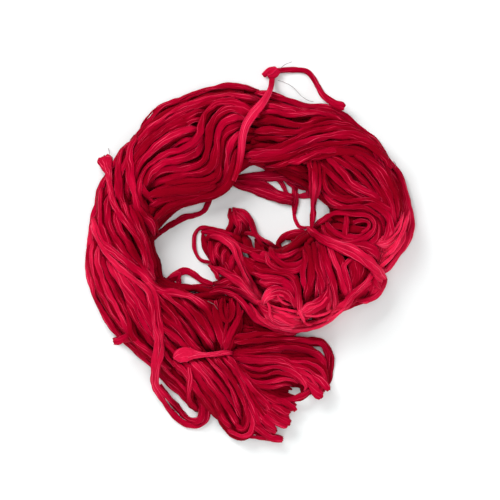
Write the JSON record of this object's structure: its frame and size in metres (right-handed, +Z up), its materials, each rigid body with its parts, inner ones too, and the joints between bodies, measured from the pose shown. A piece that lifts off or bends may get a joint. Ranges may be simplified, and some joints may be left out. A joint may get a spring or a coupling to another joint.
{
  "type": "skein of sari silk ribbon yarn",
  "caption": "Loose skein of crumpled silk ribbon yarn laid in an open spiral, gathered by a ribbon tie near one end, with its loops spread and loose ribbon ends showing.",
  "frame": {"origin": "middle of the base of the skein's turns, on the surface it lies on; ties and loose ends not counted", "axes": "+Z up from the surface, +Y from the spread loops towards the knotted tie, +X to the right as seen from above"},
  "size_m": [0.2631, 0.3035, 0.042],
  "materials": {
    "silk": "crumpled crimson silk with a soft sheen and lengthwise pleats",
    "tie_silk": "smoother and brighter crimson silk, frayed at its cut ends"
  },
  "bodies": {
    "root": {"skein": "silk", "tie_band": "tie_silk", "tie_knot": "tie_silk", "tie_tail": "tie_silk", "left_end": "silk", "neck_tie": "tie_silk", "side_end": "silk", "fan_end_1": "silk", "fan_end_2": "silk", "fan_end_3": "silk", "fan_end_4": "silk"}
  },
  "joints": []
}
